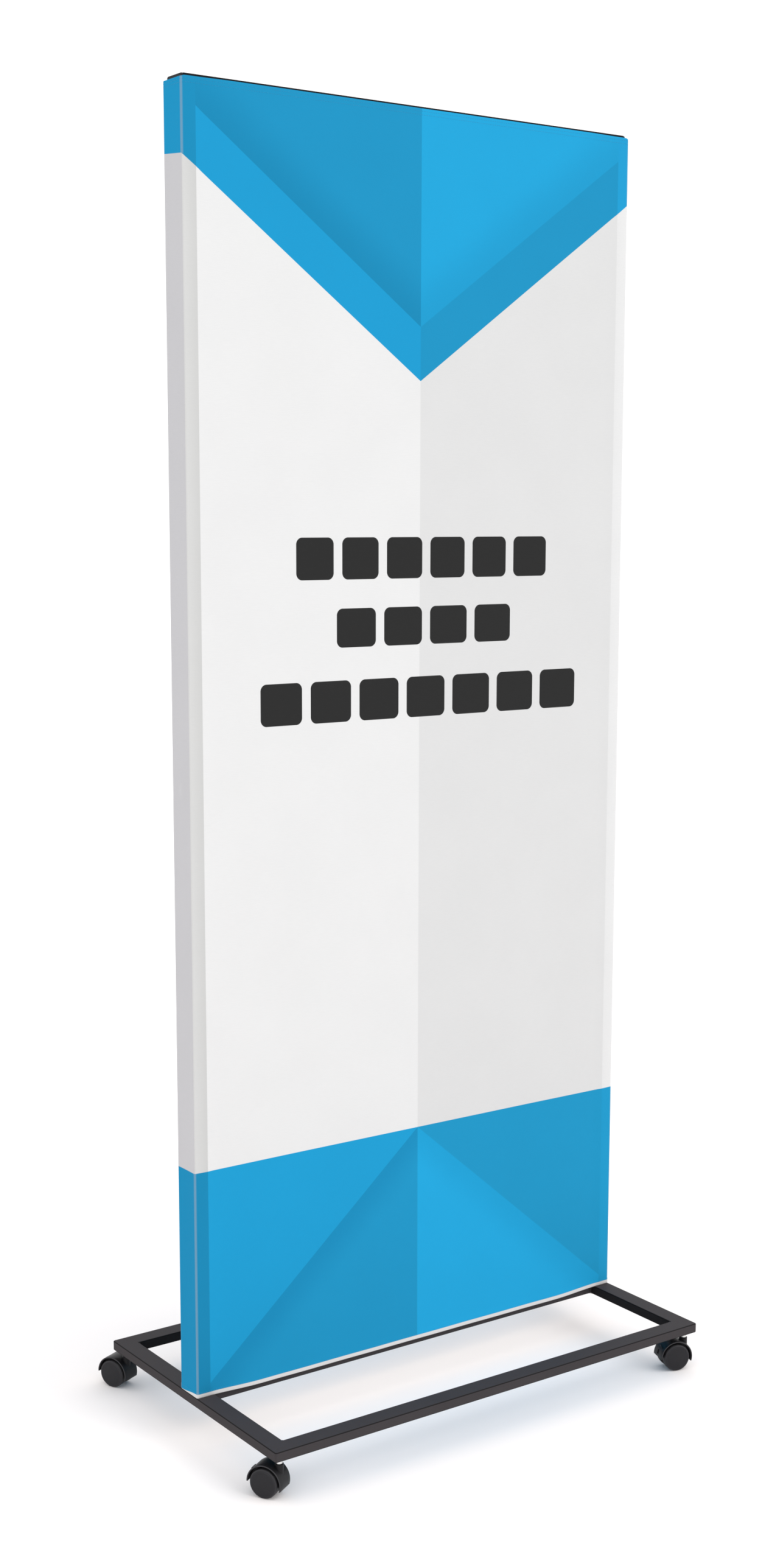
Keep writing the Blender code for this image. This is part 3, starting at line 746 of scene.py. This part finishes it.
# ======== fixings ========
def bolts():
    """Hexagon bolts with chamfered heads, and their washers, up through the side rails."""
    for label in ("left", "right"):
        low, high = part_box(f"{label}_washer")
        centre = Matrix.Translation(((low.x + high.x) / 2, (low.y + high.y) / 2, 0))
        flat = (high.x - low.x) / 2 - WASHER_SOFT
        washer = turned(
            fillet((flat, low.z + WASHER_SOFT), WASHER_SOFT, -pi / 2, 0, 3)
            + fillet((flat, high.z - WASHER_SOFT), WASHER_SOFT, 0, pi / 2, 3)
            + [(WASHER_HOLE, high.z, 0.0), (WASHER_HOLE, low.z, 0.0)], 48)
        washer.transform(centre)
        piece(f"{label}_washer_disc", washer, "zinc", stands_for=[f"{label}_washer"])

        top = low.z - CLEAR
        low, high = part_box(f"{label}_bolt")
        half = min(high.x - low.x, high.y - low.y) / 2
        point = half / cos(pi / 6)
        ring = [(point * cos(i * pi / 3), point * sin(i * pi / 3), False) for i in range(6)]
        dome = turned([(0, low.z, 0), (half - CHAMFER_IN, low.z, 0.4),
                       (half + CHAMFER_OUT, low.z + CHAMFER_UP, 0.8),
                       (half + CHAMFER_OUT, top, 0), (0, top, 0)], 72)
        root = top - 0.001
        shank = turned([(0, root, 0), (BOLT_RADIUS, root, 0),
                        (BOLT_RADIUS, high.z, 0), (0, high.z, 0)], 48)
        bolt = carved(bar(ring, low.z, top, HEAD_ROUND), ("INTERSECT", dome), ("UNION", shank))
        bolt.transform(centre)
        piece(f"{label}_hex_bolt", bolt, "zinc", stands_for=[f"{label}_bolt"],
              sharp=radians(25))


# ======== cover ========
def corner_arc(x, y, start, steps=6):
    """Points of the cover's outline round one corner, after its first."""
    points = []
    for step in range(1, steps + 1):
        angle = start + pi / 2 * step / steps
        way = (cos(angle), sin(angle))
        points.append((x + CLOTH_CORNER * way[0], y + CLOTH_CORNER * way[1], *way))
    return points


def cover_outline():
    """Points round the cover from above, as (x, y, outward x, outward y, distance round)."""
    flat_x, flat_y = HALF_LENGTH - CLOTH_CORNER, HALF_DEPTH - CLOTH_CORNER
    close = [0.0, 0.0055, 0.0110, STRIP - 0.0055, STRIP - 0.0030,
             STRIP, STRIP + 0.0035, STRIP + 0.009]
    left = [-flat_x + (offset - CLOTH_CORNER if offset > CLOTH_CORNER else offset)
            for offset in close]
    spans, side_spans = 54, 8
    middle = [left[-1] * (1 - 2 * i / spans) for i in range(1, spans)]
    along = left + middle + [-x for x in reversed(left)]
    depth = [flat_y * (2 * i / side_spans - 1) for i in range(1, side_spans + 1)]
    points = [(x, -HALF_DEPTH, 0, -1) for x in along]
    points += corner_arc(flat_x, -flat_y, -pi / 2)
    points += [(HALF_LENGTH, y, 1, 0) for y in depth]
    points += corner_arc(flat_x, flat_y, 0)
    points += [(-x, HALF_DEPTH, 0, 1) for x in along[1:]]
    points += corner_arc(-flat_x, flat_y, pi / 2)
    points += [(-HALF_LENGTH, -y, -1, 0) for y in depth]
    points += corner_arc(-flat_x, -flat_y, pi)[:-1]
    found, travelled = [], 0.0
    for i, point in enumerate(points):
        if i:
            travelled += (Vector(point[:2]) - Vector(points[i - 1][:2])).length
        found.append((*point, travelled))
    return found


def cover_levels():
    """Heights of the rows of points, close together in the hems."""
    low = [0, 0.0002, 0.0006, 0.0014, 0.0030, 0.0047, 0.0062, 0.0075,
           HEM, HEM + 0.0012, 0.014, 0.024]
    high = [0, 0.0003, 0.0009, 0.0025, 0.0060, 0.0100, 0.0120, 0.0200]
    start, end, rows = COVER_LOW + low[-1], COVER_TOP - high[-1], 100
    between = [start + (end - start) * i / rows for i in range(1, rows)]
    return [COVER_LOW + z for z in low] + between + [COVER_TOP - z for z in reversed(high)]


def ripple(x, away, depth, fade, pitch, phase):
    """A wave of small pulls that dies out away from an edge."""
    return depth * exp(-away / fade) * sin(x * 2 * pi / pitch + phase)


def cover_swell(x, y, out_x, out_y, z):
    """How far the cloth stands out from its flat face at a point."""
    above, below = z - COVER_LOW, COVER_TOP - z
    up = above / (COVER_TOP - COVER_LOW)
    taut = sqrt(max(0.0, sin(pi * up)))
    swell = 0.0
    if abs(out_y) > 0.99:       # the front and the back
        inward = HALF_LENGTH - abs(x)
        ridge = STRIP_RISE * ease(inward, 0, STRIP)
        ridge *= 1 - ease(inward, STRIP, STRIP + STRIP_FADE)
        ridge *= ease(up, 0, 0.006) * (1 - ease(up, 0.994, 1))
        pull = ripple(x, above, 0.00022, 0.09, 0.123, 0.6 + out_y)
        pull += ripple(x, below, 0.00016, 0.07, 0.097, 2.1 * out_y)
        swell = ridge - SAG * ease(inward, STRIP, SAG_REACH) * taut
        swell += pull * ease(inward, 0.01, 0.05)
    elif abs(out_x) > 0.99:     # the two sides
        across = 1 - (y / HALF_DEPTH) ** 2
        swell = -SIDE_SAG * across * taut
        for height, share in CREASES:
            dip = (z - height - CREASE_LEAN * y) / CREASE_WIDTH
            swell -= CREASE_DEPTH * share * across * exp(-dip * dip)
    plump = HEM_PLUMP * (1 - ease(above, HEM - 0.0012, HEM + 0.0006))
    roll = FOOT_ROLL * (1 - ease(above, 0, 0.0013)) + TOP_ROLL * (1 - ease(below, 0, 0.0012))
    return swell + plump - roll


def cover_droop(x, z):
    """How far the cloth hangs below its straight level at a point."""
    inward = HALF_LENGTH - abs(x)
    from_rail = inward - RAIL_WIDTH
    droop = DROOP * ease(from_rail, -0.012, 0.085) * (1 - ease(z - COVER_LOW, 0, 0.12))
    rise = TOP_RISE * ease(from_rail, -0.010, 0.055) * ease(z, COVER_TOP - 0.06, COVER_TOP)
    slip = TOP_SLIP * (1 - ease(inward, 0, 0.007)) * ease(z, COVER_TOP - 0.02, COVER_TOP)
    return droop - rise + slip


def cover():
    """One continuous sleeve of cloth with an outer and an inner wall, open top and bottom."""
    outline, levels = cover_outline(), cover_levels()
    count = len(outline)
    round_all = outline[-1][4] + (Vector(outline[0][:2]) - Vector(outline[-1][:2])).length
    shape = bmesh.new()
    weave = shape.loops.layers.uv.new("weave")
    outer, inner = [], []
    for z in levels:
        outer.append([])
        inner.append([])
        for x, y, out_x, out_y, _ in outline:
            swell, level = cover_swell(x, y, out_x, out_y, z), z - cover_droop(x, z)
            for wall, out in ((outer, swell), (inner, min(swell, HEM_PLUMP) - CLOTH)):
                wall[-1].append(shape.verts.new((x + out_x * out, y + out_y * out, level)))

    def panel(near, far, low, high):
        """A band of cloth between two rows, with its place on the knit."""
        for i in range(count):
            j = (i + 1) % count
            face = shape.faces.new((near[i], near[j], far[j], far[i]))
            start, end = outline[i][4], outline[j][4] if j else round_all
            for loop, spot in zip(face.loops, (
                    (start, low), (end, low), (end, high), (start, high))):
                loop[weave].uv = spot

    for row, (low, high) in enumerate(zip(levels, levels[1:])):
        panel(outer[row], outer[row + 1], low, high)
        panel(inner[row], inner[row + 1], low, high)
    for row in (0, -1):
        panel(outer[row], inner[row], levels[row], levels[row] + CLOTH)
    panels = ["front_banner", "rear_banner", "left_gusset", "right_gusset"]
    return piece("banner_sleeve", mesh_of(shape), "cover_cloth", stands_for=panels,
                 sharp=radians(55)), round_all


def hem_stitches(tree):
    """Lockstitch round the lower hem, and two rows round the top one."""
    made = []
    for name, z in (
        ("lower_hem_stitches", COVER_LOW + HEM - 0.0010),
        ("upper_hem_stitches", COVER_TOP - 0.0040),
        ("second_hem_stitches", COVER_TOP - 0.0090),
    ):
        path = []
        for x, y, out_x, out_y, _ in cover_outline():
            out = cover_swell(x, y, out_x, out_y, z) + THREAD * 0.25
            path.append((x + out_x * out, y + out_y * out, z - cover_droop(x, z)))
        mesh = beads(tree, lines_mesh([path], closed=True), blue_thread, pitch=STITCH_PITCH,
                     bead_length=STITCH, bead_radius=THREAD, unevenness=0.08)
        made.append(piece(name, mesh, "cover_cloth", sharp=radians(70), finish=blue_thread))
    return made


# ======== casters ========
WHEEL_RADIUS = 0.0215
WHEEL_INNER, WHEEL_OUTER = 0.0054, 0.0167   # a wheel's two faces, from the caster's middle
TREAD_SOFT = 0.0027     # rounding of the tread's shoulders
TREAD_CROWN = 0.00004
RIM, RIM_LIFT = 0.0034, 0.00012             # raised ring at the edge of the outer face
DOME_RISE, DOME_REACH = 0.00035, 0.018
HOOD_RADIUS, HOOD_WALL, HOOD_HALF_WIDTH = 0.0270, 0.0020, 0.0153
HOOD_START, HOOD_END = radians(-1), pi + radians(17)
HOOD_MIDDLE = HOOD_RADIUS - HOOD_WALL / 2
SHOULDER = 0.0010
LIP = 0.00045           # how far round the hood's rolled lips reach
LIP_SHARES = ((0.0, 0.72), (0.4, 0.90), (1.0, 1.0))     # share of LIP, share of the wall
WEB_HALF = 0.0049
BOSS_RADIUS = 0.0062
HUB_RADIUS, HUB_SOFT = 0.0065, 0.0006
PIN_HOLE, PIN_HOLE_SOFT = 0.0034, 0.0036
LATCH, LATCH_ANGLE = (0.0030, 0.0056, 0.0074), radians(17)
RIB, RIB_ANGLE, RIB_LEAN, RIB_ASIDE = (0.0024, 0.0020, 0.0100), radians(38), radians(82), 0.0030
SHANK_RADIUS, COLLAR_RADIUS, PIN_RADIUS = 0.0040, 0.0050, 0.0030
GROOVE_RADIUS, GROOVE_HALF = 0.00478, 0.0004
CASTER_SHARP = radians(34)


def about_axle(trail, radius, angle, y=0.0):
    """A point round the axle, in the caster's own frame, where +X is the way it trails."""
    return (trail + radius * cos(angle), y, WHEEL_RADIUS + radius * sin(angle))


def web_plate(trail):
    """The wall between the wheels, from the hood's inside down to a boss round the axle."""
    spans, boss_spans, tuck = 40, 8, 0.02
    reach = [(HOOD_MIDDLE, HOOD_START + tuck + (HOOD_END - HOOD_START - 2 * tuck) * i / spans)
             for i in range(spans + 1)]
    boss = [(BOSS_RADIUS, pi * (1.25 + 0.5 * i / boss_spans)) for i in range(boss_spans + 1)]
    shape = bmesh.new()
    skin(shape, [[shape.verts.new(about_axle(trail, radius, angle, y))
                  for radius, angle in reach + boss] for y in (-WEB_HALF, WEB_HALF)])
    return mesh_of(shape)


def block(size, matrix):
    """A small block with soft edges."""
    shape = bmesh.new()
    bmesh.ops.create_cube(shape, size=1, matrix=matrix @ Matrix.Diagonal((*size, 1)))
    bmesh.ops.bevel(shape, geom=shape.edges[:], offset=min(size) * 0.2, segments=2,
                    profile=0.5, affect="EDGES", clamp_overlap=True)
    return mesh_of(shape)


def on_hood(trail, radius, angle, y=0.0):
    """A place on the hood's back, where X points out from the axle."""
    return (Matrix.Translation(about_axle(trail, radius, angle, y))
            @ Matrix.Rotation(-angle, 4, "Y"))


def hood_shell(trail):
    """The curved guard over both wheels, with soft shoulders and rolled lips."""
    inside = HOOD_RADIUS - HOOD_WALL
    side = [(radius, y) for radius, y, _ in fillet(
        (HOOD_RADIUS - SHOULDER, HOOD_HALF_WIDTH - SHOULDER), SHOULDER, 0, pi / 2, 5)]
    side += [(inside + 0.0006, HOOD_HALF_WIDTH), (inside + 0.0002, HOOD_HALF_WIDTH - 0.0002),
             (inside, HOOD_HALF_WIDTH - 0.0006)]
    crown = [(HOOD_RADIUS, y) for y in (-0.007, 0.0, 0.007)]
    section = [(r, -y) for r, y in reversed(side)] + crown + side + [(inside, 0.0)]
    lip, spans = LIP / HOOD_RADIUS, 52
    first, last = HOOD_START + lip, HOOD_END - lip
    stations = [(HOOD_START + lip * share, full) for share, full in LIP_SHARES]
    stations += [(first + (last - first) * i / spans, 1.0) for i in range(1, spans)]
    stations += [(HOOD_END - lip * share, full) for share, full in reversed(LIP_SHARES)]
    shape = bmesh.new()
    rings = []
    for angle, full in stations:
        ring = []
        for radius, y in section:
            thin = HOOD_MIDDLE + (radius - HOOD_MIDDLE) * full
            close = y - (1 - full) * HOOD_WALL / 2 * (1 if y > 0 else -1 if y < 0 else 0)
            ring.append(shape.verts.new(about_axle(trail, thin, angle, close)))
        rings.append(ring)
    skin(shape, rings)
    return mesh_of(shape)


def caster_hood(trail, hub_top):
    """Guard, web between the wheels and stem hub, moulded in one piece."""
    hub = turned(
        [(0, WHEEL_RADIUS, 0), (HUB_RADIUS, WHEEL_RADIUS, 0)]
        + fillet((HUB_RADIUS - HUB_SOFT, hub_top - HUB_SOFT), HUB_SOFT, 0, pi / 2, 4)
        + [(PIN_HOLE_SOFT, hub_top, 0.0), (PIN_HOLE, hub_top - 0.0004, 0.0),
           (0, hub_top - 0.0004, 0.0)], 56)
    well_floor, well_end = WEB_HALF - 0.0002, 0.03
    well = turned([(0, well_floor, 0), (HOOD_MIDDLE, well_floor, 0),
                   (HOOD_MIDDLE, well_end, 0), (0, well_end, 0)], 96)
    steps = []
    for side in (-1, 1):
        room = well.copy()
        room.transform(Matrix.Translation((trail, 0, WHEEL_RADIUS))
                       @ Matrix.Rotation(-side * pi / 2, 4, "X"))
        steps.append(("DIFFERENCE", room))
    hub = carved(hub, *steps)
    latch = block(LATCH, on_hood(trail, HOOD_RADIUS, LATCH_ANGLE))
    rib = block(RIB, on_hood(trail, HOOD_RADIUS - 0.0001, RIB_ANGLE, RIB_ASIDE)
                @ Matrix.Rotation(RIB_LEAN, 4, "X"))
    hood = carved(hood_shell(trail), ("UNION", web_plate(trail)), ("UNION", hub),
                  ("DIFFERENCE", latch), ("UNION", rib))
    shape = bmesh.new()
    shape.from_mesh(hood)
    bmesh.ops.remove_doubles(shape, verts=shape.verts, dist=2 * MERGE)
    # Only the hood's rim keeps the edge mark, which its finish paints as a paler highlight.
    layer = shape.verts.layers.float.get("edge") or shape.verts.layers.float.new("edge")
    for point in shape.verts:
        away = sqrt((point.co.x - trail) ** 2 + (point.co.z - WHEEL_RADIUS) ** 2)
        rim = ease(abs(point.co.y), HOOD_HALF_WIDTH - 0.0009, HOOD_HALF_WIDTH - 0.0002)
        point[layer] = rim if away > HOOD_RADIUS - HOOD_WALL - 0.0005 else 0.0
    shape.to_mesh(hood)
    shape.free()
    return hood


def caster_wheel():
    """One wheel about Z, with its outer face up: rounded tread, raised rim and a shallow dome."""
    tread, soft = WHEEL_RADIUS, TREAD_SOFT
    inner, outer, floor = WHEEL_INNER, WHEEL_OUTER, WHEEL_OUTER - RIM_LIFT
    dome = [(radius, floor + DOME_RISE * (1 - (radius / DOME_REACH) ** 2), 0.0)
            for radius in (0.0160, 0.0125, 0.009, 0.005, 0)]
    rim = tread - RIM
    # The shoulders and the rim carry the edge mark, which the wheel's finish paints as a
    # highlight.
    mesh = turned(
        [(0, inner, 0.0), (tread - soft, inner, 0.0)]
        + fillet((tread - soft, inner + soft), soft, -pi / 2, 0, 6, 0.3)
        + [(tread + TREAD_CROWN, (inner + outer) / 2, 0.0)]
        + fillet((tread - soft, outer - soft), soft, 0, pi / 2, 7, 0.5)
        + [(rim - 0.0001, outer, 0.1), (rim - 0.0004, outer - 0.00004, 0.1),
           (rim - 0.0008, floor + 0.00002, 0.0), (rim - 0.0012, floor, 0.0)]
        + dome, 96)
    mark(mesh, "tread", lambda at: ease(at.xy.length, tread - 0.0010, tread - 0.0001))
    return mesh


def caster_stem(low, high, collar_low, collar_top):
    """Shank for the nut plate, grooved collar and plain pin, about Z."""
    middle = (collar_top + collar_low) / 2
    return turned(
        [(0, high, 0), (SHANK_RADIUS - 0.0006, high, 0.3), (SHANK_RADIUS, high - 0.0006, 0.3),
         (SHANK_RADIUS, collar_top, 0), (COLLAR_RADIUS - 0.0005, collar_top, 0.2),
         (COLLAR_RADIUS, collar_top - 0.0005, 0.8), (COLLAR_RADIUS, middle + GROOVE_HALF, 0.0),
         (GROOVE_RADIUS, middle, 0.4), (COLLAR_RADIUS, middle - GROOVE_HALF, 0.0),
         (COLLAR_RADIUS, collar_low + 0.0005, 0.0), (COLLAR_RADIUS - 0.0004, collar_low, 0.8),
         (PIN_RADIUS, collar_low, 0.0), (PIN_RADIUS, low + 0.0004, 0.0),
         (PIN_RADIUS - 0.0004, low, 0.0), (0, low, 0.0)], 48)


def casters():
    """A guard, two wheels and a stem at each corner, turned as the frame's joints rest."""
    swivels = [joint for joint in frame["joints"] if joint["name"].endswith("_swivel")]
    rolls = {joint["child"]: joint for joint in frame["joints"] if "_roll_" in joint["name"]}
    for swivel in swivels:
        body = swivel["child"]
        label = body.removesuffix("_caster")
        centre = Vector(swivel["pos_m"])
        trail = (Vector(rolls[f"{label}_wheel_a"]["pos_m"]) - centre).xy
        middle = Matrix.Translation((centre.x, centre.y, 0))
        turn = middle @ Matrix.Rotation(-Vector((1, 0)).angle_signed(trail), 4, "Z")
        hub_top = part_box(f"{label}_hood")[1].z
        hood = caster_hood(trail.length, hub_top)
        hood.transform(turn)
        piece(f"{label}_guard", hood, "hood_plastic", body, [f"{label}_hood"], CASTER_SHARP)
        for letter, side in (("a", 1), ("b", -1)):
            wheel = caster_wheel()
            wheel.transform(turn @ Matrix.Translation((trail.length, 0, WHEEL_RADIUS))
                            @ Matrix.Rotation(-side * pi / 2, 4, "X"))
            name = f"{label}_wheel_{letter}"
            piece(f"{label}_tyre_{letter}", wheel, "wheel_plastic", name, [name], CASTER_SHARP)
        low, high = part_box(f"{label}_stem")
        stem = caster_stem(low.z, high.z, hub_top + CLEAR, base_low.z - CLEAR)
        stem.transform(middle)
        piece(f"{label}_threaded_stem", stem, "zinc", "stand", [f"{label}_stem"], CASTER_SHARP)


# ======== studio ========
ROOM_LIGHT = 1.2
KEY_LIGHT, KEY_SPREAD, KEY_FROM = 0.8, radians(38), (0.45, -0.60, 0.66)
# Painted light: the near floor is tinted warm to cancel the blue light bounced from the banner.
FLOOR_NEAR_PAINTED_TINT, FLOOR_FAR = (0.950, 0.918, 0.912, 1), (0.93, 0.93, 0.93, 1)
FLOOR_REACH = 40
CAMERA_AT = (-1.81813, -2.50756, 1.36122)
CAMERA_YAW, CAMERA_PITCH, CAMERA_ROLL = 0.62043, -0.149548, 0.0023042
CAMERA_LENS, CAMERA_SHIFT = 46.937, (-0.00404, 0.02405)


def studio():
    """A pale floor in an even white room, with one large soft light. Near the stand the floor
    has a painted warm tint against the blue light that the banner bounces onto it.
    """
    scene = bpy.context.scene
    scene.view_settings.view_transform = "Standard"
    world = bpy.data.worlds.new("white room")
    world.use_nodes = True
    background = world.node_tree.nodes["Background"].inputs
    background["Color"].default_value = (1, 1, 1, 1)
    background["Strength"].default_value = ROOM_LIGHT
    scene.world = world
    key = bpy.data.lights.new("soft key", "SUN")
    key.energy, key.angle = KEY_LIGHT, KEY_SPREAD
    lamp = in_scene("soft key", key)
    lamp.rotation_mode = "QUATERNION"
    lamp.rotation_quaternion = Vector(KEY_FROM).to_track_quat("Z", "Y")

    grid = bmesh.new()
    bmesh.ops.create_grid(grid, x_segments=8, y_segments=8, size=FLOOR_REACH)
    mesh = bpy.data.meshes.new("floor")
    grid.to_mesh(mesh)
    grid.free()
    made = Finish("pale floor", Specular_IOR_Level=0.0, Roughness=1.0)
    x, y, _ = made.split(made.place())
    away = made.maths("SQRT", x * x + y * y)
    mesh.materials.append(made.finish(made.mix(
        made.share(away, 0.6, 2.6), FLOOR_NEAR_PAINTED_TINT, FLOOR_FAR)))
    in_scene("floor", mesh)


def camera():
    """The camera stands to the left of the banner, a little above its middle."""
    yaw, pitch, roll = CAMERA_YAW, CAMERA_PITCH, CAMERA_ROLL
    ahead = Vector((sin(yaw) * cos(pitch), cos(yaw) * cos(pitch), sin(pitch)))
    level = Vector((cos(yaw), -sin(yaw), 0))
    above = level.cross(ahead)
    right = cos(roll) * level + sin(roll) * above
    up = -sin(roll) * level + cos(roll) * above
    data = bpy.data.cameras.new("camera")
    data.lens, data.sensor_width, data.clip_end = CAMERA_LENS, 36, 200
    data.shift_x, data.shift_y = CAMERA_SHIFT
    viewer = in_scene("camera", data)
    columns = [(*way, 0) for way in (right, up, -ahead)] + [(*CAMERA_AT, 1)]
    viewer.matrix_world = Matrix(columns).transposed()
    bpy.context.scene.camera = viewer


def kept_nodes():
    """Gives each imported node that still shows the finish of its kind."""
    kinds = {"tape": "grip_tape", "axle": "zinc", "nut_plate": "zinc", "foot_block": "zinc"}
    for name, thing in frame["nodes"].items():
        if not thing.hide_render:
            kind = next((kind for word, kind in kinds.items() if word in name), "powder_coat")
            thing.data.materials.clear()
            thing.data.materials.append(finishes[kind])


camera()
studio()
base_frame()
rail_caps()
bolts()
casters()
bead_rule = bead_tree()
welds(bead_rule)
sleeve, round_all = cover()
stitches = hem_stitches(bead_rule)
kept_nodes()
